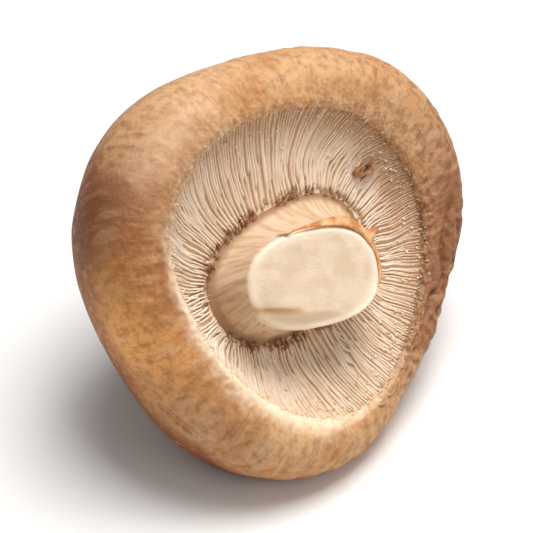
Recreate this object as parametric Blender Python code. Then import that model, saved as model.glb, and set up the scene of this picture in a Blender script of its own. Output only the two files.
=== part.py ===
"""A fresh shiitake mushroom with a trimmed stem, lying on the flank of its cap.

The cap, its gills and its stem grew as one piece, so it is one solid. The shape is
drawn in the cap's own axes: U to the right and V up across the gill side, W along
the stem, with W zero at the cap's widest ring. It is then tilted into the lying
position and its lower flank is pressed flat where it rests. Units are metres.
"""

from math import atan2, copysign, cos, hypot, pi, radians, sin

import bmesh
import bpy
from mathutils import Matrix, Vector

# Cap
CAP_RADIUS = 0.0308          # mean radius of the widest ring
CROWN_HEIGHT = 0.0235        # from the widest ring to the crown
CROWN_FULLNESS = 2.35        # 2 is a plain ellipse, more is boxier
CROWN_SLIP = Vector((0.0040, -0.0060, 0))   # of the crown from the stem's line
CREST_RADIUS = 0.0248        # the margin's foremost edge, before it turns inwards
CREST_HEIGHT = 0.0080
LIP_RADIUS = 0.0216          # the inrolled margin's inner edge
LIP_HEIGHT = 0.0060
LIP_OFFSET = Vector((0.0008, -0.0014, 0))
RIM_WAVE = 0.0006            # rise and fall of the margin around the cap

# Lobes of an outline: number of lobes, size as a share of the radius, and the
# direction of the first one in degrees from U towards V
CAP_LOBES = ((1, 0.050, -10), (2, 0.038, 12), (3, 0.070, 8))
LIP_LOBES = ((3, 0.050, 17),)

# Gills
GILL_OUTER_RADIUS = 0.0212
GILL_OUTER_HEIGHT = 0.0030
GILL_INNER_RADIUS = 0.0121
GILL_INNER_HEIGHT = 0.0015

# Stem, an oval stub cut level just above the margin
STEM_RADIUS = 0.0089         # mean radius of the cut end
STEM_HEIGHT = 0.0096         # of the cut face above the widest ring
STEM_CUT_EDGE = 0.0005       # rounding of the cut's rim
STEM_OVAL = (1.24, 0.77)     # the oval's half-axes over the mean radius
STEM_FULLNESS = 2.4          # of the oval, 2 is a plain ellipse
BASE_TURN = radians(-4)      # of the oval's long axis from U, where it leaves the gills
FACE_TURN = radians(-20)     # and at the cut face
BASE_OFFSET = Vector((0.0009, -0.0028, 0))
FACE_OFFSET = Vector((-0.0014, -0.0038, 0))

# Lying position
TILT = radians(54)           # of the stem's line from upright
CAP_CENTRE = Vector((-0.0035, -0.0011, 0.0246))
PRESS_DEPTH = 0.0020         # height over which the flank rounds into the flat
REST_TRIM = 0.00005          # shaved off so that the resting side is one face

# Mesh
SEGMENTS = 60
CROWN_STEPS = 16
MARGIN_STEPS = 5
LIP_STEPS = 4


def arc(start, end, steps, steep_first):
    """Points of a quarter ellipse between two points, without the first one."""
    points = []
    for i in range(1, steps + 1):
        turn = i / steps * pi / 2
        out, along = (1 - cos(turn), sin(turn)) if steep_first else (sin(turn), 1 - cos(turn))
        points.append((start[0] + (end[0] - start[0]) * out, start[1] + (end[1] - start[1]) * along))
    return points


def crown():
    """Superellipse from the crown to the widest ring."""
    points = []
    for i in range(CROWN_STEPS + 1):
        turn = i / CROWN_STEPS * pi / 2
        radius = CAP_RADIUS * sin(turn) ** (2 / CROWN_FULLNESS)
        height = -CROWN_HEIGHT * max(cos(turn), 0) ** (2 / CROWN_FULLNESS)
        points.append((radius, height))
    return points


def half_section():
    """The mushroom's half section, from the crown round to the stem's cut face."""
    crest = (CREST_RADIUS, CREST_HEIGHT)
    lip = (LIP_RADIUS, LIP_HEIGHT)
    points = crown()
    points += arc(points[-1], crest, MARGIN_STEPS, True)
    points += arc(crest, lip, LIP_STEPS, False)
    points += [(GILL_OUTER_RADIUS, GILL_OUTER_HEIGHT)]
    points += [((GILL_OUTER_RADIUS * 2 + GILL_INNER_RADIUS) / 3, GILL_INNER_HEIGHT * 1.2)]
    points += [((GILL_OUTER_RADIUS + GILL_INNER_RADIUS * 2) / 3, GILL_INNER_HEIGHT)]
    points += [(GILL_INNER_RADIUS, GILL_INNER_HEIGHT)]
    points += arc(points[-1], (STEM_RADIUS, STEM_HEIGHT - STEM_CUT_EDGE), LIP_STEPS, False)
    points += [(STEM_RADIUS - STEM_CUT_EDGE, STEM_HEIGHT)]
    points += [(STEM_RADIUS * 0.6, STEM_HEIGHT), (STEM_RADIUS * 0.3, STEM_HEIGHT), (0, STEM_HEIGHT)]
    return points


def smooth_step(value):
    """Ease from 0 to 1 as the value goes from 0 to 1."""
    value = min(max(value, 0), 1)
    return value * value * (3 - 2 * value)


def lobed(angle, lobes):
    """An outline's radius in a direction, as a factor on its mean radius."""
    return 1 + sum(size * cos(count * (angle - radians(first))) for count, size, first in lobes)


def shape_cap(point):
    """Give a turned point the cap's lobes, the slipped crown and the wavy margin."""
    radius = hypot(point.x, point.y)
    angle = atan2(point.y, point.x)
    fade = radius / CAP_RADIUS if point.z < 0 else 1
    factor = 1 + (lobed(angle, CAP_LOBES) - 1) * fade
    slip = CROWN_SLIP * (max(-point.z, 0) / CROWN_HEIGHT) ** 1.5
    wave = RIM_WAVE * sin(3 * angle + 1) * smooth_step(point.z / CREST_HEIGHT)
    return Vector((point.x * factor, point.y * factor, point.z + wave)) + slip


def shape_opening(point):
    """Give a turned point the outline of the opening inside the margin."""
    factor = lobed(atan2(point.y, point.x), LIP_LOBES)
    return Vector((point.x * factor, point.y * factor, point.z)) + LIP_OFFSET


def rounded(value):
    """A cosine or sine made fuller, which squares a circle off a little."""
    return copysign(abs(value) ** (2 / STEM_FULLNESS), value)


def shape_stem(point):
    """Give a turned point the stem's oval, its twist and its lean."""
    rise = (point.z - GILL_INNER_HEIGHT) / (STEM_HEIGHT - GILL_INNER_HEIGHT)
    rise = min(max(rise, 0), 1)
    radius = hypot(point.x, point.y)
    angle = atan2(point.y, point.x)
    along = radius * rounded(cos(angle)) * STEM_OVAL[0]
    across = radius * rounded(sin(angle)) * STEM_OVAL[1]
    twist = Matrix.Rotation(BASE_TURN + (FACE_TURN - BASE_TURN) * rise, 3, "Z")
    return twist @ Vector((along, across, point.z)) + BASE_OFFSET.lerp(FACE_OFFSET, rise)


def shape(point):
    """Move a turned point to its place on the real cap, gills or stem."""
    radius = hypot(point.x, point.y)
    if point.z <= 0 or radius >= CREST_RADIUS:
        return shape_cap(point)
    inside_crest = smooth_step((CREST_RADIUS - radius) / (CREST_RADIUS - LIP_RADIUS))
    towards_stem = smooth_step((GILL_OUTER_RADIUS - radius) / (GILL_OUTER_RADIUS - GILL_INNER_RADIUS))
    rim = shape_cap(point).lerp(shape_opening(point), inside_crest)
    return rim.lerp(shape_stem(point), towards_stem)


def press(height):
    """Height of a point of the flank once the cap's weight has flattened it."""
    if height >= PRESS_DEPTH:
        return height
    if height <= -PRESS_DEPTH:
        return 0
    return (height + PRESS_DEPTH) ** 2 / (4 * PRESS_DEPTH)


def turned(mesh):
    """Turn the half section about W into a closed shape."""
    points = [mesh.verts.new((radius, 0, height)) for radius, height in half_section()]
    edges = [mesh.edges.new(pair) for pair in zip(points, points[1:])]
    bmesh.ops.spin(mesh, geom=points + edges, cent=(0, 0, 0), axis=(0, 0, 1),
                   angle=2 * pi, steps=SEGMENTS, use_merge=True)
    bmesh.ops.remove_doubles(mesh, verts=mesh.verts, dist=1e-6)
    bmesh.ops.recalc_face_normals(mesh, faces=mesh.faces)


def lay_down(mesh):
    """Tilt the mushroom, press its flank and trim the resting face level."""
    place = Matrix.Translation(CAP_CENTRE) @ Matrix.Rotation(TILT, 4, "X")
    for vert in mesh.verts:
        vert.co = place @ shape(vert.co)
        vert.co.z = press(vert.co.z)
    cut = bmesh.ops.bisect_plane(mesh, geom=mesh.verts[:] + mesh.edges[:] + mesh.faces[:],
                                 plane_co=(0, 0, REST_TRIM), plane_no=(0, 0, -1), clear_outer=True)
    rim = [edge for edge in cut["geom_cut"] if isinstance(edge, bmesh.types.BMEdge)]
    bmesh.ops.edgeloop_fill(mesh, edges=rim)
    bmesh.ops.translate(mesh, verts=mesh.verts, vec=(0, 0, -REST_TRIM))
    bmesh.ops.remove_doubles(mesh, verts=mesh.verts, dist=1e-5)
    bmesh.ops.recalc_face_normals(mesh, faces=mesh.faces)


def skin_material():
    """Satin brown skin of the cap, which stands for the whole solid here."""
    material = bpy.data.materials.new("mushroom_skin")
    material.use_nodes = True
    shader = material.node_tree.nodes["Principled BSDF"]
    shader.inputs["Base Color"].default_value = (0.42, 0.21, 0.095, 1)
    shader.inputs["Roughness"].default_value = 0.55
    shader.inputs["Metallic"].default_value = 0
    return material


def make_mushroom():
    """Build the whole mushroom as one closed solid."""
    mesh = bmesh.new()
    turned(mesh)
    lay_down(mesh)
    data = bpy.data.meshes.new("mushroom")
    mesh.to_mesh(data)
    mesh.free()
    data.shade_smooth()
    data.set_sharp_from_angle(angle=radians(40))
    mushroom = bpy.data.objects.new("mushroom", data)
    bpy.context.scene.collection.objects.link(mushroom)
    mushroom.data.materials.append(skin_material())
    return mushroom


for old in list(bpy.data.objects):
    bpy.data.objects.remove(old, do_unlink=True)
make_mushroom()
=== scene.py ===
"""Looks of a fresh shiitake mushroom with a trimmed stem, lying on the flank of its cap.

Places are worked out in the mushroom's own axes: U to the right and V up across the gill
side, W along the stem, with W zero at the cap's widest ring. Units are metres.
"""

import random
from math import atan2, copysign, cos, exp, hypot, pi, radians, sin

import bmesh
import bpy
from mathutils import Matrix, Vector, noise


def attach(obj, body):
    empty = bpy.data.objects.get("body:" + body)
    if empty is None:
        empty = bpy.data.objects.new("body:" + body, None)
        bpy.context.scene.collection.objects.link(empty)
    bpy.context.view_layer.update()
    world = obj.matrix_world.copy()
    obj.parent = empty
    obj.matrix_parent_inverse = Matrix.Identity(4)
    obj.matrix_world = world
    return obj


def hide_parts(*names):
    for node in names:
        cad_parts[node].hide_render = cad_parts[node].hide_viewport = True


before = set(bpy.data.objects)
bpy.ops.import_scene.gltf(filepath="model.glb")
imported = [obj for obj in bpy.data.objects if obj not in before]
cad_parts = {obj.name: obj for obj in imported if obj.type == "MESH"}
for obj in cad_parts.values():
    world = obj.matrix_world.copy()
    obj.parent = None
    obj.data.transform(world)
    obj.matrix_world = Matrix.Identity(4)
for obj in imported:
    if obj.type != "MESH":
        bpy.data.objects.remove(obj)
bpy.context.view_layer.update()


# The cap is one thick dome of springy flesh under a thin satin skin. Its margin rolls in
# over the gills. It grew as one piece with the stem and lies on its pressed lower flank.
CAP_RADIUS = 0.0308          # mean radius of the widest ring
CROWN_HEIGHT = 0.0235        # from the widest ring to the crown
CROWN_FULLNESS = 2.35        # 2 is a plain ellipse, more is boxier
CROWN_SLIP = Vector((0.0040, -0.0060, 0))   # of the crown from the stem's line
CREST_RADIUS = 0.0248        # the margin's foremost edge, before it turns inwards
CREST_HEIGHT = 0.0080
LIP_RADIUS = 0.0216          # the inrolled margin's inner edge
LIP_HEIGHT = 0.0060
LIP_OFFSET = Vector((0.0008, -0.0014, 0))
WALL_FOOT = (0.0221, 0.0049)   # radius and height where the wall inside the lip ends
RIM_WAVE = 0.0006            # rise and fall of the margin around the cap
# Lobes of an outline: number of lobes, size as a share of the radius, and the direction
# of the first one in degrees from U towards V
CAP_LOBES = ((1, 0.050, -10), (2, 0.038, 12), (3, 0.070, 8))
LIP_LOBES = ((3, 0.050, 17),)
GILL_INNER_RADIUS = 0.0121   # where the gills meet the foot of the stem,
GILL_INNER_HEIGHT = 0.0015   # and the height of their free edges there
GILL_WALL_RADIUS = 0.0222    # where they run into the margin's inner wall,
GILL_WALL_HEIGHT = 0.0054    # and the height of their free edges there
GILL_DEPTH = 0.0007          # of the gaps between them at the foot of the stem
STEM_HEIGHT = 0.0096         # of the cut face above the widest ring
STEM_OVAL = (1.24, 0.77)     # the oval's half-axes over the mean radius
STEM_FULLNESS = 2.4          # of the oval, 2 is a plain ellipse
BASE_TURN = radians(-4)      # of the oval's long axis from U, where it leaves the gills
FACE_TURN = radians(-20)     # and at the cut face
BASE_OFFSET = Vector((0.0009, -0.0028, 0))
FACE_OFFSET = Vector((-0.0014, -0.0038, 0))
TILT = radians(54)           # of the stem's line from upright
CAP_CENTRE = Vector((-0.0035, -0.0011, 0.0246))
PRESS_DEPTH = 0.0020         # height over which the flank rounds into the flat
REST_TRIM = 0.00005          # shaved off the resting side
SKIN_STEPS = 528             # points round the cap
CROWN_STEPS = 80             # points that the dome's half section is drawn from
CROWN_GRID = 0.00060         # gap between rings of points on the hidden crown,
FLANK_GRID = 0.00036         # on the flank,
MARGIN_GRID = 0.00026        # on the rolled margin
BED_GRID = 0.00080           # and on the flesh that the gills hang from
BED_RINGS = 14
BED_PALE = 0.8               # how far that flesh takes the gills' pale colour
FLANK_REACH = 0.015          # how far the flank goes from the widest ring to the crown
SKIN_INSET = 0.00030         # keeps the highest lumps inside the solid's box
BED_MARK = 1                 # stands for the distance along the section, in the gill bed
SKIN_MARKS = ("pale", "fuzz", "tan", "golden", "umber", "ruddy_and_shade", "ridge", "crown")


def smooth_step(value):
    """Ease from 0 to 1 as the value goes from 0 to 1."""
    value = min(max(value, 0), 1)
    return value * value * (3 - 2 * value)


def bump(value, middle, width):
    """A soft hill of height 1 round a middle value."""
    return exp(-((value - middle) / width) ** 2)


def toward(angle, middle, width):
    """A soft hill of height 1 round a direction, with middle and width in degrees."""
    off = (angle - radians(middle) + pi) % (2 * pi) - pi
    return exp(-(off / radians(width)) ** 2)


def lobed(angle, lobes):
    """An outline's radius in a direction, as a factor on its mean radius."""
    return 1 + sum(size * cos(count * (angle - radians(first))) for count, size, first in lobes)


def on_cap(point):
    """Give a turned point the cap's lobes, the slipped crown and the wavy margin."""
    radius = hypot(point.x, point.y)
    angle = atan2(point.y, point.x)
    fade = radius / CAP_RADIUS if point.z < 0 else 1
    factor = 1 + (lobed(angle, CAP_LOBES) - 1) * fade
    slip = CROWN_SLIP * (max(-point.z, 0) / CROWN_HEIGHT) ** 1.5
    wave = RIM_WAVE * sin(3 * angle + 1) * smooth_step(point.z / CREST_HEIGHT)
    return Vector((point.x * factor, point.y * factor, point.z + wave)) + slip


def in_opening(point):
    """Give a turned point the outline of the opening inside the margin."""
    factor = lobed(atan2(point.y, point.x), LIP_LOBES)
    return Vector((point.x * factor, point.y * factor, point.z)) + LIP_OFFSET


def rounded(value):
    """A cosine or sine made fuller, which squares a circle off a little."""
    return copysign(abs(value) ** (2 / STEM_FULLNESS), value)


def on_stem(point):
    """Give a turned point the stem's oval, its twist and its lean."""
    rise = (point.z - GILL_INNER_HEIGHT) / (STEM_HEIGHT - GILL_INNER_HEIGHT)
    rise = min(max(rise, 0), 1)
    radius = hypot(point.x, point.y)
    angle = atan2(point.y, point.x)
    along = radius * rounded(cos(angle)) * STEM_OVAL[0]
    across = radius * rounded(sin(angle)) * STEM_OVAL[1]
    twist = Matrix.Rotation(BASE_TURN + (FACE_TURN - BASE_TURN) * rise, 3, "Z")
    return twist @ Vector((along, across, point.z)) + BASE_OFFSET.lerp(FACE_OFFSET, rise)


def grown(point, under):
    """Move a turned point to its place, on the cap or between its crest and the opening."""
    radius = hypot(point.x, point.y)
    if not under or radius >= CREST_RADIUS:
        return on_cap(point)
    inside_crest = smooth_step((CREST_RADIUS - radius) / (CREST_RADIUS - LIP_RADIUS))
    return on_cap(point).lerp(in_opening(point), inside_crest)


def laid_down(point):
    """From the mushroom's own axes to where it lies, with its flank pressed flat."""
    spot = Matrix.Translation(CAP_CENTRE) @ Matrix.Rotation(TILT, 4, "X") @ point
    if spot.z < PRESS_DEPTH:
        spot.z = (max(spot.z, -PRESS_DEPTH) + PRESS_DEPTH) ** 2 / (4 * PRESS_DEPTH)
    spot.z = max(spot.z - REST_TRIM, 0)
    return spot


def arc(start, end, steps, steep_first):
    """Points of a quarter ellipse between two points, without the first one."""
    points = []
    for i in range(1, steps + 1):
        turn = i / steps * pi / 2
        out, along = (1 - cos(turn), sin(turn)) if steep_first else (sin(turn), 1 - cos(turn))
        points.append((start[0] + (end[0] - start[0]) * out, start[1] + (end[1] - start[1]) * along))
    return points


def gill_plan(angle, share):
    """The gills' straight line from the foot of the stem, at 0, to the margin's wall, at 1."""
    facing = Vector((cos(angle), sin(angle), 0))
    foot = on_stem(facing * GILL_INNER_RADIUS)
    return foot.lerp(in_opening(facing * GILL_WALL_RADIUS), share)


def gill_edge(share):
    """Height of the gills' free edges, a shallow bowl that climbs to the margin."""
    return GILL_INNER_HEIGHT + (GILL_WALL_HEIGHT - GILL_INNER_HEIGHT) * max(share, 0) ** 2.4


def gill_depth(share):
    """From the gills' free edges to the flesh that they hang from, less towards the margin."""
    return GILL_DEPTH * (1 - 0.6 * min(max(share, 0), 1) ** 2)


def in_bed(angle, radius):
    """A point of the flesh that the gills hang from."""
    share = (radius - GILL_INNER_RADIUS) / (GILL_WALL_RADIUS - GILL_INNER_RADIUS)
    if share > 0:
        spot = gill_plan(angle, share)
    else:
        spot = on_stem(Vector((cos(angle) * radius, sin(angle) * radius, 0)))
    spot.z = gill_edge(share) - gill_depth(share)
    return spot


def crown_section():
    """Half section of the dome, from the crown to the widest ring."""
    points = []
    for i in range(CROWN_STEPS + 1):
        turn = i / CROWN_STEPS * pi / 2
        radius = CAP_RADIUS * sin(turn) ** (2 / CROWN_FULLNESS)
        height = -CROWN_HEIGHT * max(cos(turn), 0) ** (2 / CROWN_FULLNESS)
        points.append((radius, height))
    return points


def margin_section():
    """Half section of the rolled margin, from the widest ring to the foot of its inner wall."""
    points = [(CAP_RADIUS, 0)]
    points += arc(points[-1], (CREST_RADIUS, CREST_HEIGHT), 16, True)
    points += arc(points[-1], (LIP_RADIUS, LIP_HEIGHT), 10, False)
    return points + arc(points[-1], WALL_FOOT, 6, True)


def evenly(points, gap):
    """The same line with points about an even gap apart, each with its distance along."""
    spread = [0]
    for a, b in zip(points, points[1:]):
        spread.append(spread[-1] + hypot(b[0] - a[0], b[1] - a[1]))
    count = round(spread[-1] / gap)
    found, part = [], 0
    for i in range(count + 1):
        along = min(i / count * spread[-1], spread[-1])
        while part < len(points) - 2 and spread[part + 1] < along:
            part += 1
        share = (along - spread[part]) / (spread[part + 1] - spread[part])
        a, b = points[part], points[part + 1]
        found.append((a[0] + (b[0] - a[0]) * share, a[1] + (b[1] - a[1]) * share, along))
    return found


def length_to(points, radius, height):
    """Distance along a line to its point nearest a given radius and height."""
    return min(points, key=lambda p: hypot(p[0] - radius, p[1] - height))[2]


def skin_line():
    """The cap's half section as points with their distance from the widest ring."""
    fine = evenly(crown_section(), FLANK_GRID)
    coarse = evenly(crown_section(), CROWN_GRID)
    length = fine[-1][2]
    line = [(r, h, a - length) for r, h, a in coarse if a - length < -FLANK_REACH]
    line += [(r, h, a - length) for r, h, a in fine if a - length > -FLANK_REACH + CROWN_GRID / 2]
    line += evenly(margin_section(), MARGIN_GRID)[1:]
    bed = [GILL_WALL_RADIUS - BED_GRID * i for i in range(BED_RINGS)]
    bed += [GILL_INNER_RADIUS * 0.6, 0]
    return line + [(radius, 0, BED_MARK) for radius in bed]


margin_line = evenly(margin_section(), MARGIN_GRID)
TO_CREST = length_to(margin_line, CREST_RADIUS, CREST_HEIGHT)
TO_LIP = length_to(margin_line, LIP_RADIUS, LIP_HEIGHT)


def furrows(angle, along):
    """Fine ridges and furrows about 1.2 mm apart that run out over the margin, -1 to 1."""
    ring = Vector((cos(angle), sin(angle), 0)) * CAP_RADIUS
    drift = 1.2 * noise.noise(ring * 150 + Vector((0, 0, along * 180)))
    return 2 * noise.noise(ring * 850 + Vector((drift, drift, along * 220)))


def creases(angle, along):
    """Two shallow folds side by side on the lower left, 0 to 1 at their bottoms."""
    path = -0.0006 + 0.0030 * smooth_step((angle % (2 * pi) - radians(192)) / radians(30))
    reach = toward(angle, 205, 13)
    return reach * (bump(along, path, 0.00030) + 0.7 * bump(along, path + 0.0012, 0.00026))


def relief(angle, along, spot):
    """How far the skin stands out of its smooth form at a point: broad lumps all over,
    ridges and felt on the margin, a crumpled lip, and folds on the lower right."""
    lumps = 0.00040 * noise.noise(spot * 75) + 0.00012 * noise.noise(spot * 230)
    margin = smooth_step((along + 0.005) / 0.007)
    ridges = 0.00005 + 0.00014 * toward(angle, -75, 38) + 0.00004 * toward(angle, 90, 60)
    felt = 0.00006 * noise.noise(spot * 1400) + 0.00006 * noise.noise(spot * 2600)
    crumple = 0.00024 * noise.noise(spot * 700) + 0.00018 * noise.noise(spot * 1700)
    crumple *= bump(along, TO_LIP - 0.0008, 0.0030)
    fold = -0.0011 * bump(along, TO_CREST - 0.0004 + 0.0022 * noise.noise(spot * 170), 0.0006)
    fold -= 0.0007 * bump(along, TO_CREST - 0.0026 + 0.0026 * noise.noise(spot * 210), 0.0005)
    fold = fold * toward(angle, -36, 24) + 0.00022 * noise.noise(spot * 480) * toward(angle, -30, 30)
    return (lumps + margin * (ridges * furrows(angle, along) + felt) + crumple + fold
            - 0.00035 * creases(angle, along) - SKIN_INSET)


def turned(section, steps):
    """Turn a half section about W and keep each point's distance along it."""
    mesh = bmesh.new()
    reach = mesh.verts.layers.float.new("along")
    line = []
    for radius, height, along in section:
        vert = mesh.verts.new((radius, 0, height))
        vert[reach] = along
        line.append(vert)
    edges = [mesh.edges.new(pair) for pair in zip(line, line[1:])]
    bmesh.ops.spin(mesh, geom=line + edges, cent=(0, 0, 0), axis=(0, 0, 1),
                   angle=2 * pi, steps=steps, use_merge=True)
    bmesh.ops.remove_doubles(mesh, verts=mesh.verts, dist=1e-6)
    return mesh, reach


def make_cap():
    """Turn, grow and roughen the cap, and mark what its colours need."""
    mesh, reach = turned(skin_line(), SKIN_STEPS)
    bmesh.ops.recalc_face_normals(mesh, faces=mesh.faces)
    grain = mesh.verts.layers.float_vector.new("grain")
    marks = {name: mesh.verts.layers.float.new(name) for name in SKIN_MARKS}
    angles = []
    for vert in mesh.verts:
        angle = atan2(vert.co.y, vert.co.x)
        angles.append(angle)
        along = vert[reach]
        vert[grain] = Vector((cos(angle) * CAP_RADIUS, sin(angle) * CAP_RADIUS, along))
        if along == BED_MARK:
            vert.co = in_bed(angle, hypot(vert.co.x, vert.co.y))
            vert[marks["pale"]] = BED_PALE
            continue
        vert.co = grown(vert.co, along > TO_CREST)
        spot = vert.co
        ragged = along + 0.0011 * noise.noise(spot * 420) + 0.0008 * noise.noise(spot * 1300)
        strength = min(0.12 + toward(angle, 192, 60) + 0.40 * toward(angle, -105, 42), 1)
        edge = TO_LIP - 0.0012 - 0.0036 * strength
        # A pale patch on top of the margin is painted highlight where the light from above falls. It rides
        # in the pale mark with the real cream band.
        painted_highlight = 0.22 * toward(angle, 116, 17) * bump(ragged, TO_CREST - 0.0020, 0.0045)
        vert[marks["pale"]] = max(smooth_step((ragged - edge) / 0.0042) * strength, painted_highlight)
        fuzz = smooth_step((along - TO_LIP + 0.0040) / 0.0040)
        # Less fuzz on the right, which darkens that side, partly as painted shade.
        vert[marks["fuzz"]] = fuzz * (1 - 0.6 * toward(angle, -20, 50))
        drift = 0.0030 * noise.noise(spot * 110) + 0.0010 * noise.noise(spot * 400)
        left = toward(angle, 162, 38)
        vert[marks["tan"]] = smooth_step((along + drift + 0.005) / 0.007) * (1 - 0.85 * left)
        vert[marks["golden"]] = toward(angle, 176, 19) * bump(along + drift, 0.0030, 0.0074)
        vert[marks["umber"]] = toward(angle, 143, 14) * bump(along + drift, 0.0005, 0.0070)
        inner = smooth_step((along + 0.5 * drift - TO_CREST) / 0.0025)
        # The right margin is reddish-brown and darker: partly its own colour, partly painted shade on the
        # side turned from the light.
        vert[marks["ruddy_and_shade"]] = toward(angle, -30, 46) * (1 - 0.15 * inner)
        vert[marks["ridge"]] = furrows(angle, along) * smooth_step((along + 0.004) / 0.008)
        vert[marks["crown"]] = smooth_step((-along - 0.003 + 2 * drift) / 0.014)
    mesh.normal_update()
    moved = [vert.normal * relief(angle, vert[reach], vert.co) if vert[reach] < BED_MARK else Vector()
             for vert, angle in zip(mesh.verts, angles)]
    for vert, move in zip(mesh.verts, moved):
        vert.co = laid_down(vert.co + move)
    bmesh.ops.recalc_face_normals(mesh, faces=mesh.faces)
    return finished(mesh, "cap")


def finished(mesh, name):
    """Turn a finished bmesh into a smooth object in the scene."""
    data = bpy.data.meshes.new(name)
    mesh.to_mesh(data)
    mesh.free()
    data.shade_smooth()
    piece = bpy.data.objects.new(name, data)
    bpy.context.scene.collection.objects.link(piece)
    return piece


def linear(code):
    """A colour given as sRGB hex, in the shader's linear values."""
    parts = [int(code[i:i + 2], 16) / 255 for i in (1, 3, 5)]
    return (*[c / 12.92 if c <= 0.04045 else ((c + 0.055) / 1.055) ** 2.4 for c in parts], 1)


def add_node(material, kind, inputs, **settings):
    """Add a shader node with its settings, its inputs set to values or linked to outputs."""
    tree = material.node_tree
    node = tree.nodes.new("ShaderNode" + kind)
    for name, value in settings.items():
        setattr(node, name, value)
    for slot, value in inputs.items():
        if isinstance(value, bpy.types.NodeSocket):
            tree.links.new(value, node.inputs[slot])
        else:
            node.inputs[slot].default_value = value
    return node


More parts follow.
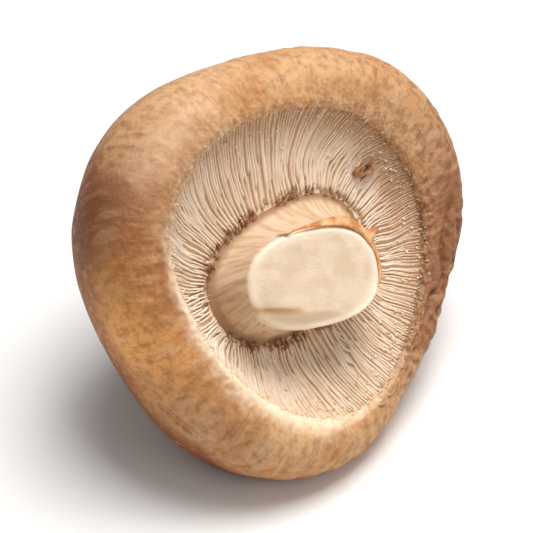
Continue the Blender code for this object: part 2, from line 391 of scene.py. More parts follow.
def skin_finish():
    """Shiitake cap skin, grown: satin and felted, tan over the margin and umber on the
    crown, with faint fibrils that run out from the crown and a pale fuzz at the lip.
    A painted highlight lies on top of the margin, and the right margin's reddish-brown
    is partly painted shade."""
    material = bpy.data.materials.new("shiitake_cap_skin")
    material.use_nodes = True
    shader = material.node_tree.nodes["Principled BSDF"]
    place = add_node(material, "TexCoord", {}).outputs["Object"]
    grain = add_node(material, "Attribute", {}, attribute_name="grain").outputs["Vector"]
    marks = {name: add_node(material, "Attribute", {}, attribute_name=name).outputs["Fac"]
             for name in SKIN_MARKS}
    # Noise scales are features per metre: blotches of 9 mm, mottling of 1.3 mm, felt of
    # 0.5 mm, and fibrils 0.6 mm wide and 2.5 mm long
    blotch = add_node(material, "TexNoise", {"Vector": place, "Scale": 110, "Detail": 4}).outputs[0]
    mottle = add_node(material, "TexNoise", {"Vector": place, "Scale": 780, "Detail": 4}).outputs[0]
    felt = add_node(material, "TexNoise", {"Vector": place, "Scale": 2000, "Detail": 2}).outputs[0]
    drawn = add_node(material, "Mapping", {"Vector": grain, "Scale": (1, 1, 0.24)})
    fibril = add_node(material, "TexNoise", {"Vector": drawn.outputs[0], "Scale": 1700, "Detail": 3,
                                             "Distortion": 0.6}).outputs[0]
    soft = {"interpolation_type": "SMOOTHSTEP"}
    patchy = add_node(material, "MapRange", {"Value": blotch, "From Min": 0.38, "From Max": 0.62},
                      **soft).outputs[0]
    flank = add_node(material, "Mix", {0: patchy, 6: linear("#7E4220"), 7: linear("#9C562A")},
                     data_type="RGBA").outputs[2]
    margin = add_node(material, "Mix", {0: patchy, 6: linear("#C8925F"), 7: linear("#D8AA7C")},
                      data_type="RGBA").outputs[2]
    colour = add_node(material, "Mix", {0: marks["tan"], 6: flank, 7: margin},
                      data_type="RGBA").outputs[2]
    share = add_node(material, "MapRange", {"Value": mottle, "From Min": 0.46, "From Max": 0.30,
                                            "To Max": 0.32}, **soft)
    colour = add_node(material, "Mix", {0: share.outputs[0], 6: colour, 7: linear("#E0AE78")},
                      data_type="RGBA").outputs[2]
    crown = add_node(material, "Mix", {0: patchy, 6: linear("#63391F"), 7: linear("#8A5834")},
                     data_type="RGBA").outputs[2]
    share = add_node(material, "MapRange", {"Value": marks["crown"], "To Max": 0.92}, **soft)
    colour = add_node(material, "Mix", {0: share.outputs[0], 6: colour, 7: crown},
                      data_type="RGBA").outputs[2]
    for name, code in (("umber", "#7A4220"), ("golden", "#FFB566")):
        colour = add_node(material, "Mix", {0: marks[name], 6: colour, 7: linear(code)},
                          data_type="RGBA").outputs[2]
    # Reddish-brown darkening with dark specks on the right margin, partly real colour and partly painted
    # shade.
    share = add_node(material, "MapRange", {"Value": marks["ruddy_and_shade"], "To Max": 0.9}, **soft)
    colour = add_node(material, "Mix", {0: share.outputs[0], 6: colour, 7: linear("#8A5738")},
                      data_type="RGBA").outputs[2]
    share = add_node(material, "MapRange", {"Value": mottle, "From Min": 0.49, "From Max": 0.60,
                                            "To Max": 0.7}, **soft)
    share = add_node(material, "Math", {0: share.outputs[0], 1: marks["ruddy_and_shade"]}, operation="MULTIPLY")
    colour = add_node(material, "Mix", {0: share.outputs[0], 6: colour, 7: linear("#633A22")},
                      data_type="RGBA").outputs[2]
    for tone, low, high, most, code in ((mottle, 0.45, 0.68, 0.38, "#8C5A3A"),
                                        (fibril, 0.50, 0.72, 0.30, "#7E4E30"),
                                        (fibril, 0.46, 0.30, 0.16, "#D2A678"),
                                        (felt, 0.52, 0.70, 0.18, "#6E4226")):
        share = add_node(material, "MapRange", {"Value": tone, "From Min": low, "From Max": high,
                                                "To Max": most}, **soft)
        colour = add_node(material, "Mix", {0: share.outputs[0], 6: colour, 7: linear(code)},
                          data_type="RGBA").outputs[2]
    share = add_node(material, "MapRange", {"Value": felt, "From Min": 0.55, "From Max": 0.34,
                                            "To Max": 0.60}, **soft)
    share = add_node(material, "Math", {0: share.outputs[0], 1: marks["fuzz"]}, operation="MULTIPLY")
    colour = add_node(material, "Mix", {0: share.outputs[0], 6: colour, 7: linear("#E8C49B")},
                      data_type="RGBA").outputs[2]
    share = add_node(material, "MapRange", {"Value": marks["ridge"], "From Min": 0.0, "From Max": 0.9,
                                            "To Max": 0.16}, **soft)
    colour = add_node(material, "Mix", {0: share.outputs[0], 6: colour, 7: linear("#E6C29A")},
                      data_type="RGBA").outputs[2]
    # The pale mark is the real cream veil band at the lip, plus a painted highlight on top of the margin.
    colour = add_node(material, "Mix", {0: marks["pale"], 6: colour, 7: linear("#FAE3C6")},
                      data_type="RGBA").outputs[2]
    rough = add_node(material, "MapRange", {"Value": mottle, "From Min": 0.3, "From Max": 0.7,
                                            "To Min": 0.48, "To Max": 0.66}, **soft)
    ribbed = add_node(material, "Bump", {"Height": fibril, "Strength": 0.4, "Distance": 0.00015})
    felted = add_node(material, "Bump", {"Height": felt, "Strength": 0.7, "Distance": 0.00020,
                                         "Normal": ribbed.outputs[0]})
    links = material.node_tree.links
    links.new(colour, shader.inputs["Base Color"])
    links.new(rough.outputs[0], shader.inputs["Roughness"])
    links.new(felted.outputs[0], shader.inputs["Normal"])
    shader.inputs["IOR"].default_value = 1.42
    shader.inputs["Specular IOR Level"].default_value = 0.28
    shader.inputs["Subsurface Weight"].default_value = 0.12
    shader.inputs["Subsurface Radius"].default_value = (1.0, 0.45, 0.2)
    shader.inputs["Subsurface Scale"].default_value = 0.0012
    return material


cap = make_cap()
cap.data.materials.append(skin_finish())
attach(cap, "root")
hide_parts("mushroom")


# The gills are thin blades of flesh that hang side by side under the cap, from the margin
# to the foot of the stem. Short ones fill the gaps where the long ones spread apart.
GILL_PAIRS = 158             # each a long blade and a short one
LONG_START = (-0.05, 0.02)   # where they start, as shares of the way from stem to margin
SHORT_START = (0.12, 0.50)
GILL_END = (0.98, 1.05)
GILL_JITTER = 0.12           # of their directions, as a share of the gap between pairs
GILL_THICKNESS = 0.00023
GILL_ROOT = 0.0004           # how far the blades reach down into the flesh
GILL_STEPS = 16              # faces along the longest blade, one row of them deep
GILL_BEND = 0.0011           # sideways, in the middle of a blade
GILL_LEAN = 0.00010          # sideways, of a whole free edge
EDGE_BOW = (-0.00018, 0.00010)   # of a free edge, down or up in its middle
EDGE_TEETH = 0.00012         # unevenness of a free edge
SWEEP = radians(-20)         # how far the upper right blades swing round on their way out
HOLE_PLACE = Vector((0.0191, 0.0034, 0))   # an insect's hole that the blades bend round,
HOLE_PUSH = 0.0009           # by this much,
HOLE_REACH = 0.0017          # as far out as this
CRACK = (Vector((0.0036, -0.0160, 0)), Vector((0.0021, -0.0196, 0)))   # from and to
CRACK_PUSH = 0.00045
CRACK_REACH = 0.0008


def parted(spot):
    """Push a blade's point aside where an insect's hole or a crack parts the gills."""
    away = spot - HOLE_PLACE
    spot = spot + away.normalized() * (HOLE_PUSH * exp(-(away.length / HOLE_REACH) ** 2))
    run = CRACK[1] - CRACK[0]
    share = min(max((spot - CRACK[0]).dot(run) / run.length_squared, 0), 1)
    away = spot - (CRACK[0] + run * share)
    return spot + away.normalized() * (CRACK_PUSH * exp(-(away.length / CRACK_REACH) ** 2))


def gill_line(angle, share):
    """A blade's plan, swung, bent and parted as the real ones are."""
    swung = angle + SWEEP * toward(angle, 55, 42) * max(share, 0)
    bend = noise.noise(Vector((cos(angle) * 3.5, sin(angle) * 3.5, share * 1.6)))
    side = Vector((-sin(angle), cos(angle), 0)) * (GILL_BEND * bend * sin(pi * share))
    spot = gill_plan(swung, share) + side
    spot.z = 0
    return parted(spot)


def add_gill(mesh, layers, angle, start, chance):
    """Shape one blade's sheet from a flat grid."""
    steps = round(GILL_STEPS * (1 - start)) + 1
    grid = bmesh.ops.create_grid(mesh, x_segments=steps, y_segments=1, size=0.5)
    shift = chance.uniform(0, 100)
    sway = chance.uniform(-1, 1) * GILL_LEAN
    bow = chance.uniform(*EDGE_BOW)
    tone = chance.random()
    end = chance.uniform(*GILL_END)
    for vert in grid["verts"]:
        share = start + (end - start) * (vert.co.x + 0.5)
        spot = gill_line(angle, share)
        inner = smooth_step((share - start) / 0.06)
        spot.z = gill_edge(share) - gill_depth(share) - GILL_ROOT
        if vert.co.y > 0:
            teeth = EDGE_TEETH * noise.noise(Vector((share * 22, shift, 0))) + bow * sin(pi * share)
            lean = sway + 2 * GILL_LEAN * noise.noise(Vector((share * 6, shift, 3)))
            spot += Vector((-sin(angle), cos(angle), 0)) * lean
            spot.z = gill_edge(share) + teeth - gill_depth(share) * 0.7 * (1 - inner)
        vert.co = spot
        vert[layers["tone"]] = tone
        vert[layers["outer"]] = share
        # Less tan on the left, where the gills are cream, and below the stem, where the lighter colour is
        # painted light against the stem's shadow.
        cream_and_painted_light = max(toward(angle, 190, 75), toward(angle, -90, 45))
        outer = smooth_step((share - 0.45) / 0.6) * (1 - 0.9 * cream_and_painted_light)
        vert[layers["tan"]] = max(outer, 0.9 * toward(angle, 12, 34) * smooth_step((share - 0.2) / 0.6))


def make_gills():
    """Set the long and the short blades round the stem."""
    chance = random.Random(7)
    mesh = bmesh.new()
    layers = {name: mesh.verts.layers.float.new(name) for name in ("tone", "outer", "tan", "depth")}
    for i in range(GILL_PAIRS):
        for offset, start in ((0, LONG_START), (0.5, SHORT_START)):
            jitter = chance.uniform(-GILL_JITTER, GILL_JITTER)
            angle = 2 * pi * (i + offset + jitter) / GILL_PAIRS
            add_gill(mesh, layers, angle, chance.uniform(*start), chance)
    bmesh.ops.recalc_face_normals(mesh, faces=mesh.faces)
    bmesh.ops.solidify(mesh, geom=mesh.faces[:], thickness=GILL_THICKNESS)
    for vert in mesh.verts:
        share = vert[layers["outer"]]
        # How far a point lies below the free edge, which the finish turns into painted shade between the
        # blades.
        vert[layers["depth"]] = (gill_edge(share) - vert.co.z) / gill_depth(share)
        vert.co = laid_down(vert.co)
    bmesh.ops.recalc_face_normals(mesh, faces=mesh.faces)
    return finished(mesh, "gills")


def gill_finish():
    """Gill flesh, grown: matt and pale, translucent, darker down between the blades as
    painted shade, and tan towards the margin, but cream on the left and lighter below the
    stem, which is painted light against the stem's shadow."""
    material = bpy.data.materials.new("shiitake_gill_flesh")
    material.use_nodes = True
    shader = material.node_tree.nodes["Principled BSDF"]
    place = add_node(material, "TexCoord", {}).outputs["Object"]
    marks = {name: add_node(material, "Attribute", {}, attribute_name=name).outputs["Fac"]
             for name in ("tone", "tan", "depth")}
    # Noise scales are features per metre: blotches of 4 mm and flecks of 0.7 mm
    blotch = add_node(material, "TexNoise", {"Vector": place, "Scale": 240, "Detail": 4}).outputs[0]
    fleck = add_node(material, "TexNoise", {"Vector": place, "Scale": 1500, "Detail": 2}).outputs[0]
    soft = {"interpolation_type": "SMOOTHSTEP"}
    colour = add_node(material, "Mix", {0: marks["tone"], 6: linear("#F8E4CF"), 7: linear("#EAD0B6")},
                      data_type="RGBA").outputs[2]
    # Deeper points between the blades are darkened as painted shade.
    for tone, low, high, most, code in ((blotch, 0.42, 0.66, 0.5, "#E2C3A4"),
                                        (marks["tan"], 0, 1, 0.8, "#C4946A"),
                                        (fleck, 0.55, 0.72, 0.6, "#FAEBD8"),
                                        (marks["depth"], 0.15, 0.9, 1, "#E0C7A9")):
        share = add_node(material, "MapRange", {"Value": tone, "From Min": low, "From Max": high,
                                                "To Max": most}, **soft)
        colour = add_node(material, "Mix", {0: share.outputs[0], 6: colour, 7: linear(code)},
                          data_type="RGBA").outputs[2]
    links = material.node_tree.links
    links.new(colour, shader.inputs["Base Color"])
    shader.inputs["Roughness"].default_value = 0.75
    shader.inputs["IOR"].default_value = 1.4
    shader.inputs["Specular IOR Level"].default_value = 0.25
    shader.inputs["Subsurface Weight"].default_value = 0.2
    shader.inputs["Subsurface Radius"].default_value = (1.0, 0.75, 0.55)
    shader.inputs["Subsurface Scale"].default_value = 0.0005
    return material


gills = make_gills()
gills.data.materials.append(gill_finish())
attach(gills, "root")
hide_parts("mushroom")


# The stem is firm cream flesh with long fibres. It flares into the gill bed and was cut
# off just above the margin with a knife, which left an oval face with a paler rim and a
# second, slanting facet along its lower left edge. The rim is widened along the top as
# painted highlight and faded on the shaded left as painted shade.
STEM_RADIUS = 0.0089         # mean radius of the cut end
STEM_STEPS = 240             # points round the stem
STEM_GRID = 0.00028          # gap between rings of points
FOOT_SPREAD = 0.0006         # of the foot's curve, to either side of the gills' inner ends
CUT_EDGE = 0.0006            # height over which the cut's rim is rounded
FACE_DISH = 0.0003           # how far the middle of the cut face has sunk
FACET_TURN = radians(-112)   # the way that the second cut faces
FACET_REACH = 0.0054         # where it starts, from the middle of the stem
FACET_SLOPE = 0.36           # its fall over its breadth
STEM_MARKS = ("face", "facet", "seam", "rim", "foot")


def stem_section():
    """Half section of the stub, from inside the gill bed to the middle of its cut face."""
    foot = (GILL_INNER_RADIUS - FOOT_SPREAD, GILL_INNER_HEIGHT - 0.0006)
    points = [(GILL_INNER_RADIUS + FOOT_SPREAD, GILL_INNER_HEIGHT - GILL_DEPTH - GILL_ROOT)]
    points += arc(points[-1], foot, 5, False)
    points += arc(points[-1], (STEM_RADIUS, STEM_HEIGHT - CUT_EDGE), 12, False)
    points += arc(points[-1], (STEM_RADIUS - 0.0005, STEM_HEIGHT), 4, True)
    points += [(STEM_RADIUS - 0.0012, STEM_HEIGHT - FACE_DISH / 2), (0, STEM_HEIGHT - FACE_DISH)]
    return points


def make_stem():
    """Turn the stub, give it its oval, its fibres and its second cut."""
    stem_line = evenly(stem_section(), STEM_GRID)
    to_rim = length_to(stem_line, STEM_RADIUS - 0.0002, STEM_HEIGHT - 0.0002)
    mesh, reach = turned([(r, h, a - to_rim) for r, h, a in stem_line], STEM_STEPS)
    bmesh.ops.edgeloop_fill(mesh, edges=[edge for edge in mesh.edges if edge.is_boundary])
    bmesh.ops.recalc_face_normals(mesh, faces=mesh.faces)
    grain = mesh.verts.layers.float_vector.new("grain")
    marks = {name: mesh.verts.layers.float.new(name) for name in STEM_MARKS}
    for vert in mesh.verts:
        angle = atan2(vert.co.y, vert.co.x)
        radius = hypot(vert.co.x, vert.co.y)
        along = vert[reach]
        side = smooth_step((-along - 0.0002) / 0.0006)
        upright = Vector((cos(angle) * STEM_RADIUS, sin(angle) * STEM_RADIUS, vert.co.z))
        vert[grain] = upright.lerp(vert.co, smooth_step((along + 0.0006) / 0.0006))
        vert[marks["face"]] = 1 - side
        left = toward(angle, 200, 54)
        # The pale rim is widened along the top as painted highlight and faded on the left as painted shade.
        wide = 0.00070 + 0.00035 * toward(angle, 120, 50)
        vert[marks["rim"]] = bump(along, 0.0002, wide) * (1 - 0.9 * left)
        vert[marks["foot"]] = smooth_step((0.0021 - vert.co.z) / 0.0012)
        below = radius * cos(angle - FACET_TURN) - FACET_REACH + 0.0006 * noise.noise(vert.co * 350)
        rise = smooth_step((vert.co.z - 0.003) / 0.006)
        vert[marks["facet"]] = smooth_step(below / 0.0004) * (1 - side)
        leftward = smooth_step((0.001 - radius * sin(angle - FACET_TURN)) / 0.004)
        vert[marks["seam"]] = bump(below, 0.0003, 0.0005) * (1 - side) * leftward
        fibre = noise.noise(Vector((cos(angle) * 11, sin(angle) * 11, vert.co.z * 110)))
        coarse = noise.noise(Vector((cos(angle) * 3, sin(angle) * 3, vert.co.z * 200)))
        swell = 1 + side * (0.012 * fibre + 0.018 * coarse)
        swell += 0.10 * sin(pi * min(max(vert.co.z, 0) / STEM_HEIGHT, 1)) * toward(angle, 180, 40)
        height = vert.co.z - max(below, 0) * FACET_SLOPE * rise
        height -= 0.0011 * left * bump(along, 0, 0.0017) * rise
        height += (1 - side) * (0.00010 * noise.noise(vert.co * 500) + 0.00016 * noise.noise(vert.co * 180))
        vert.co = on_stem(Vector((vert.co.x * swell, vert.co.y * swell, vert.co.z)))
        vert.co.z = height
        vert.co = laid_down(vert.co)
    bmesh.ops.recalc_face_normals(mesh, faces=mesh.faces)
    return finished(mesh, "stem")


def stem_finish():
    """Stem flesh, cut: tan and fibrous outside, paler and smooth on the knife's face."""
    material = bpy.data.materials.new("shiitake_stem_flesh")
    material.use_nodes = True
    shader = material.node_tree.nodes["Principled BSDF"]
    place = add_node(material, "TexCoord", {}).outputs["Object"]
    grain = add_node(material, "Attribute", {}, attribute_name="grain").outputs["Vector"]
    marks = {name: add_node(material, "Attribute", {}, attribute_name=name).outputs["Fac"]
             for name in STEM_MARKS}
    # Noise scales are features per metre: fibres 0.6 mm wide and 4.5 mm long, and pith
    # blotches of 3 mm
    drawn = add_node(material, "Mapping", {"Vector": grain, "Scale": (1, 1, 0.14)})
    fibre = add_node(material, "TexNoise", {"Vector": drawn.outputs[0], "Scale": 1600,
                                            "Detail": 3}).outputs[0]
    pith = add_node(material, "TexNoise", {"Vector": place, "Scale": 320, "Detail": 5}).outputs[0]
    soft = {"interpolation_type": "SMOOTHSTEP"}
    share = add_node(material, "MapRange", {"Value": fibre, "From Min": 0.42, "From Max": 0.66}, **soft)
    side = add_node(material, "Mix", {0: share.outputs[0], 6: linear("#DEC2A4"), 7: linear("#CAA884")},
                    data_type="RGBA").outputs[2]
    side = add_node(material, "Mix", {0: marks["foot"], 6: side, 7: linear("#A87E5A")},
                    data_type="RGBA").outputs[2]
    share = add_node(material, "MapRange", {"Value": pith, "From Min": 0.38, "From Max": 0.66}, **soft)
    cut = add_node(material, "Mix", {0: share.outputs[0], 6: linear("#E5CDB3"), 7: linear("#DBC1A4")},
                   data_type="RGBA").outputs[2]
    cut = add_node(material, "Mix", {0: marks["facet"], 6: cut, 7: linear("#E2C6A4")},
                   data_type="RGBA").outputs[2]
    cut = add_node(material, "Mix", {0: marks["seam"], 6: cut, 7: linear("#CB9A60")},
                   data_type="RGBA").outputs[2]
    colour = add_node(material, "Mix", {0: marks["face"], 6: side, 7: cut},
                      data_type="RGBA").outputs[2]
    # Pale cut rim, partly painted highlight along the top.
    colour = add_node(material, "Mix", {0: marks["rim"], 6: colour, 7: linear("#FCEAD2")},
                      data_type="RGBA").outputs[2]
    raised = add_node(material, "Bump", {"Height": fibre, "Strength": 0.5, "Distance": 0.0002})
    links = material.node_tree.links
    links.new(colour, shader.inputs["Base Color"])
    links.new(raised.outputs[0], shader.inputs["Normal"])
    shader.inputs["Roughness"].default_value = 0.6
    shader.inputs["IOR"].default_value = 1.4
    shader.inputs["Specular IOR Level"].default_value = 0.3
    shader.inputs["Subsurface Weight"].default_value = 0.3
    shader.inputs["Subsurface Radius"].default_value = (1.0, 0.65, 0.4)
    shader.inputs["Subsurface Scale"].default_value = 0.0015
    return material


stem = make_stem()
stem.data.materials.append(stem_finish())
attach(stem, "root")
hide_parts("mushroom")


# The margin fringe is what is left of the veil that once joined the margin to the stem:
# pale flakes and crumbs that cling to the lip and the gills' outer ends.
FLAKES = 1100
FLAKE_LENGTH = (0.0003, 0.0010)
FLAKE_WIDTH = (0.00018, 0.00036)
FLAKE_LIFT = (0.00005, 0.00020)   # of the tip
FLAKE_ROOT = 0.00008         # how deep the other end sits in the flesh
FLAKE_THICKNESS = 0.00006
CRUMBS = 420
CRUMB_RADIUS = (0.00009, 0.00022)
UP_ON_CAP = Matrix.Rotation(TILT, 3, "X")   # from the mushroom's own axes to where it lies


def add_flake(mesh, spot, way, normal, length, width, lift, chance):
    """Shape one thin tapered flake that is rooted at a spot and lifts off along its way."""
    grid = bmesh.ops.create_grid(mesh, x_segments=3, y_segments=1, size=0.5)
    side = normal.cross(way).normalized()
    curl = chance.uniform(-0.4, 0.4) * length
    for vert in grid["verts"]:
        share = vert.co.x + 0.5
        across = vert.co.y * width * (1.1 - share)
        climb = lift * share ** 1.6 - FLAKE_ROOT * (1 - share)
        vert.co = (spot + way * (length * (share - 0.2)) + side * (across + curl * share ** 2)
                   + normal * climb)


def lip_points():
    """The cap's points on the crest and lip: place, normal, direction and distance along."""
    places = cap.data.attributes["grain"].data
    found = []
    for vert in cap.data.vertices:
        x, y, along = places[vert.index].vector
        if TO_CREST - 0.0002 < along < TO_LIP + 0.0012:
            found.append((vert.co.copy(), vert.normal.copy(), atan2(y, x), along))
    return found


def make_fringe():
    """Root flakes on the lip, most of them left and below, and strew crumbs inside it."""
    chance = random.Random(11)
    mesh = bmesh.new()
    points = lip_points()
    made = 0
    while made < FLAKES:
        spot, normal, angle, along = chance.choice(points)
        wanted = 0.12 + toward(angle, 180, 55) + 0.5 * toward(angle, -100, 45)
        wanted *= bump(along, TO_LIP + 0.0002, 0.0014)
        if chance.random() > wanted:
            continue
        inward = UP_ON_CAP @ Vector((-cos(angle), -sin(angle), 0))
        sideways = UP_ON_CAP @ Vector((-sin(angle), cos(angle), 0))
        way = inward + sideways * chance.uniform(-0.9, 0.9)
        way = (way - normal * way.dot(normal) * 0.8).normalized()
        length = chance.uniform(*FLAKE_LENGTH) * (0.6 + 0.4 * toward(angle, 180, 70))
        add_flake(mesh, spot, way, normal, length, chance.uniform(*FLAKE_WIDTH),
                  chance.uniform(*FLAKE_LIFT), chance)
        made += 1
    bmesh.ops.recalc_face_normals(mesh, faces=mesh.faces)
    bmesh.ops.solidify(mesh, geom=mesh.faces[:], thickness=FLAKE_THICKNESS)
    for i in range(CRUMBS):
        angle = chance.uniform(-pi, pi)
        share = 1 - abs(chance.gauss(0, 0.16))
        spot = gill_line(angle, share)
        spot.z = gill_edge(share) + 0.0001
        spin = Matrix.Rotation(chance.uniform(0, pi), 4, "Z")
        size = chance.uniform(*CRUMB_RADIUS)
        stretch = Matrix.Diagonal((chance.uniform(0.7, 2.2), 1, 0.7, 1))
        bmesh.ops.create_icosphere(mesh, subdivisions=1, radius=size,
                                   matrix=Matrix.Translation(laid_down(spot)) @ spin @ stretch)
    bmesh.ops.recalc_face_normals(mesh, faces=mesh.faces)
    return finished(mesh, "margin_fringe")


def plain_flesh(name, code, other, scale):
    """Dry mushroom tissue, torn: matt, with patches of two tones, scale of them to a metre."""
    material = bpy.data.materials.new(name)
    material.use_nodes = True
    shader = material.node_tree.nodes["Principled BSDF"]
    place = add_node(material, "TexCoord", {}).outputs["Object"]
    tone = add_node(material, "TexNoise", {"Vector": place, "Scale": scale, "Detail": 3}).outputs[0]
    share = add_node(material, "MapRange", {"Value": tone, "From Min": 0.40, "From Max": 0.62},
                     interpolation_type="SMOOTHSTEP")
    colour = add_node(material, "Mix", {0: share.outputs[0], 6: linear(code), 7: linear(other)},
                      data_type="RGBA").outputs[2]
    raised = add_node(material, "Bump", {"Height": tone, "Strength": 0.3, "Distance": 0.0001})
    links = material.node_tree.links
    links.new(colour, shader.inputs["Base Color"])
    links.new(raised.outputs[0], shader.inputs["Normal"])
    shader.inputs["Roughness"].default_value = 0.75
    shader.inputs["IOR"].default_value = 1.4
    shader.inputs["Specular IOR Level"].default_value = 0.25
    shader.inputs["Subsurface Weight"].default_value = 0.25
    shader.inputs["Subsurface Radius"].default_value = (1.0, 0.6, 0.4)
    shader.inputs["Subsurface Scale"].default_value = 0.0006
    return material


fringe = make_fringe()
fringe.data.materials.append(plain_flesh("dry_veil_tissue", "#F3DFC0", "#DDB98E", 900))
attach(fringe, "root")
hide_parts("mushroom")


# The gill scars are ragged brown slivers where the gills tore loose from the stem's foot.
# They lie across the groove between the blades' inner ends and the stem, and their dark
# brown is partly painted shade of that groove.
SCARS = 300
SCAR_LENGTH = (0.0006, 0.0015)
SCAR_WIDTH = (0.00022, 0.00050)
SCAR_LIFT = (0, 0.0004)      # of the tip
SCAR_THICKNESS = 0.00008


def make_scars_and_shade():
    """Lay the slivers across the groove, thickest above and below the stem."""
    chance = random.Random(23)
    mesh = bmesh.new()
    made = 0
    while made < SCARS:
        angle = chance.uniform(-pi, pi)
        wanted = 0.12 + 0.8 * toward(angle, 100, 45) + 0.9 * toward(angle, -95, 42)
        wanted *= 0.5 + 1.6 * noise.noise(Vector((cos(angle) * 9, sin(angle) * 9, 0)))
        if chance.random() > wanted:
            continue
        facing = Vector((cos(angle), sin(angle), 0))
        spot = on_stem(facing * (GILL_INNER_RADIUS + chance.uniform(-0.0008, 0.0007)))
        spot.z = chance.uniform(0.0009, 0.0016)
        way = facing + Vector((-sin(angle), cos(angle), 0)) * chance.uniform(-0.5, 0.5)
        way = UP_ON_CAP @ (way.normalized() + Vector((0, 0, chance.uniform(0.0, 0.5))))
        normal = UP_ON_CAP @ Vector((0, 0, 1))
        add_flake(mesh, laid_down(spot), way.normalized(), normal, chance.uniform(*SCAR_LENGTH),
                  chance.uniform(*SCAR_WIDTH), chance.uniform(*SCAR_LIFT), chance)
        made += 1
    bmesh.ops.recalc_face_normals(mesh, faces=mesh.faces)
    bmesh.ops.solidify(mesh, geom=mesh.faces[:], thickness=SCAR_THICKNESS)
    bmesh.ops.recalc_face_normals(mesh, faces=mesh.faces)
    return finished(mesh, "gill_scars_and_shade")


scars = make_scars_and_shade()
# Their dark brown is partly torn tissue and partly painted shade in the groove.
scars.data.materials.append(plain_flesh("torn_gill_tissue_and_shade", "#96684A", "#C09672", 700))
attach(scars, "root")
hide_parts("mushroom")


# The torn skin is a strip of the stem's orange-brown rind that the knife pulled loose. It
# clings along the top of the cut face and hangs down its right side.
STRIP_START = radians(108)   # as directions from the middle of the face
STRIP_END = radians(-18)
STRIP_WIDTH = 0.0017
STRIP_THICKNESS = 0.00016


def make_strip():
    """Bend a flat strip over the face's rim, wide on top and thin down the side."""
    mesh = bmesh.new()
    bmesh.ops.create_grid(mesh, x_segments=72, y_segments=6, size=0.5)
    for vert in mesh.verts:
        share = vert.co.x + 0.5
        across = vert.co.y + 0.5
        angle = STRIP_START + (STRIP_END - STRIP_START) * share
        ends = smooth_step(share / 0.32) * smooth_step((1 - share) / 0.12)
        narrow = 1 - 0.55 * smooth_step((share - 0.60) / 0.10)
        ragged = 1 + 0.22 * noise.noise(Vector((share * 7, across * 2, 5)))
        width = STRIP_WIDTH * ends * narrow * ragged
        tip = 0.0012 * bump(share, 0.60, 0.022) * across
        start = 0.0003 - 0.0006 * smooth_step((share - 0.45) / 0.2)
        radius = STEM_RADIUS + start + width * across + tip
        spot = on_stem(Vector((cos(angle) * radius, sin(angle) * radius, STEM_HEIGHT)))
        curl = 0.00012 * noise.noise(Vector((share * 8, across * 1.5, 9)))
        spot.z = STEM_HEIGHT + 0.00022 - 0.0013 * (ends * across) ** 2 * narrow + curl + tip * 0.35
        vert.co = laid_down(spot)
    bmesh.ops.recalc_face_normals(mesh, faces=mesh.faces)
    bmesh.ops.solidify(mesh, geom=mesh.faces[:], thickness=STRIP_THICKNESS)
    bmesh.ops.recalc_face_normals(mesh, faces=mesh.faces)
    return finished(mesh, "torn_skin")


strip = make_strip()
strip.data.materials.append(plain_flesh("stem_rind", "#C67F4A", "#E9B988", 420))
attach(strip, "root")
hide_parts("mushroom")


# The insect hole is a small oval burrow among the upper right gills. Its brown rim is
# drawn in a little, and the gills bend round it.
HOLE_RADIUS = 0.00082        # mean radius of the mouth
HOLE_OVAL = (1.40, 0.72)     # its half-axes over the mean radius
HOLE_TURN = radians(-6)      # of its long axis from U
HOLE_SHARE = 0.72            # how far out it lies on the gills
HOLE_STEPS = 48              # points round it


def make_hole():
    """Turn the rim and the funnel below it, stretched along the gills."""
    mesh = bmesh.new()
    height = gill_edge(HOLE_SHARE)
    section = [(HOLE_RADIUS * 1.60, height - 0.0009), (HOLE_RADIUS * 1.50, height - 0.0003),
               (HOLE_RADIUS * 1.25, height - 0.0001), (HOLE_RADIUS * 0.85, height - 0.0004),
               (HOLE_RADIUS * 0.62, height - 0.0012), (HOLE_RADIUS * 0.50, height - 0.0030),
               (0, height - 0.0034), (0, height - 0.0037), (HOLE_RADIUS * 1.4, height - 0.0036)]
    line = [mesh.verts.new((radius, 0, level)) for radius, level in section]
    edges = [mesh.edges.new(pair) for pair in zip(line, line[1:] + line[:1])]
    bmesh.ops.spin(mesh, geom=line + edges, cent=(0, 0, 0), axis=(0, 0, 1),
                   angle=2 * pi, steps=HOLE_STEPS, use_merge=True)
    bmesh.ops.remove_doubles(mesh, verts=mesh.verts, dist=1e-6)
    bmesh.ops.subdivide_edges(mesh, edges=mesh.edges[:], cuts=1, use_grid_fill=True)
    bmesh.ops.recalc_face_normals(mesh, faces=mesh.faces)
    turn = Matrix.Rotation(HOLE_TURN, 3, "Z")
    for vert in mesh.verts:
        rough = 1 + 0.25 * noise.noise(vert.co * 1100)
        oval = Vector((vert.co.x * HOLE_OVAL[0] * rough, vert.co.y * HOLE_OVAL[1] * rough, 0))
        spot = turn @ oval + HOLE_PLACE
        spot.z = vert.co.z + 0.0002 * noise.noise(vert.co * 1500)
        vert.co = laid_down(spot)
    return finished(mesh, "insect_hole")


hole = make_hole()
hole.data.materials.append(plain_flesh("burrow_rim", "#8A5E3E", "#B58A62", 1100))
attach(hole, "root")
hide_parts("mushroom")


# The table is a plain pale surface that fades into a white studio, under one large soft
# light from above and to the right. A weaker one in front fills the shade under the stem.
def table_finish():
    """White laminate, pressed: plain and matt."""
    material = bpy.data.materials.new("white_table")
    material.use_nodes = True
    shader = material.node_tree.nodes["Principled BSDF"]
    shader.inputs["Base Color"].default_value = linear("#F7F6F4")
    shader.inputs["Roughness"].default_value = 0.9
    return material


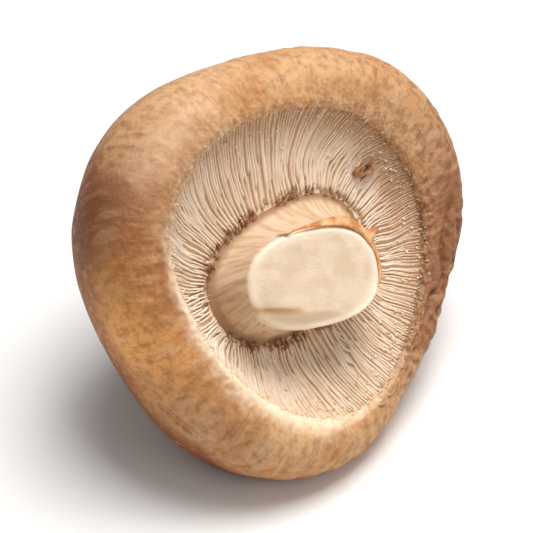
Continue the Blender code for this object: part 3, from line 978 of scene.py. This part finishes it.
floor_mesh = bmesh.new()
bmesh.ops.create_grid(floor_mesh, x_segments=1, y_segments=1, size=1.5)
floor_data = bpy.data.meshes.new("floor")
floor_mesh.to_mesh(floor_data)
floor_mesh.free()
floor = bpy.data.objects.new("floor", floor_data)
bpy.context.scene.collection.objects.link(floor)
floor.data.materials.append(table_finish())

world = bpy.data.worlds.new("studio")
world.use_nodes = True
world.node_tree.nodes["Background"].inputs["Color"].default_value = (1, 1, 1, 1)
world.node_tree.nodes["Background"].inputs["Strength"].default_value = 0.28
bpy.context.scene.world = world


def add_light(name, place, target, size, power):
    """A square soft light that points at the target."""
    data = bpy.data.lights.new(name, "AREA")
    data.size = size
    data.energy = power
    light = bpy.data.objects.new(name, data)
    light.location = place
    light.rotation_euler = (target - place).to_track_quat("-Z", "Y").to_euler()
    bpy.context.scene.collection.objects.link(light)


add_light("key_light", Vector((0.13, -0.02, 0.60)), CAP_CENTRE, 0.35, 4.0)
add_light("fill_light", Vector((0.08, -0.45, 0.26)), CAP_CENTRE, 0.30, 0.4)

# The camera looks down at the gill side from the front left.
CAMERA_ELEVATION = radians(42)
CAMERA_TURN = radians(46)    # to the left of straight in front
CAMERA_DISTANCE = 0.320
VIEW_WIDTH = 0.0752          # seen across at the cap's distance
VIEW_SHIFT = (-0.0009, -0.0018)   # of the view's middle from the cap's, across and up

back = Vector((-sin(CAMERA_TURN) * cos(CAMERA_ELEVATION),
               -cos(CAMERA_TURN) * cos(CAMERA_ELEVATION), sin(CAMERA_ELEVATION)))
right = Vector((cos(CAMERA_TURN), -sin(CAMERA_TURN), 0))
target = CAP_CENTRE + right * VIEW_SHIFT[0] + back.cross(right) * VIEW_SHIFT[1]
camera_data = bpy.data.cameras.new("camera")
camera_data.sensor_width = 36
camera_data.lens = camera_data.sensor_width * CAMERA_DISTANCE / VIEW_WIDTH
camera = bpy.data.objects.new("camera", camera_data)
camera.location = target + back * CAMERA_DISTANCE
camera.rotation_euler = (-back).to_track_quat("-Z", "Y").to_euler()
bpy.context.scene.collection.objects.link(camera)
bpy.context.scene.camera = camera
bpy.context.scene.view_settings.view_transform = "Standard"
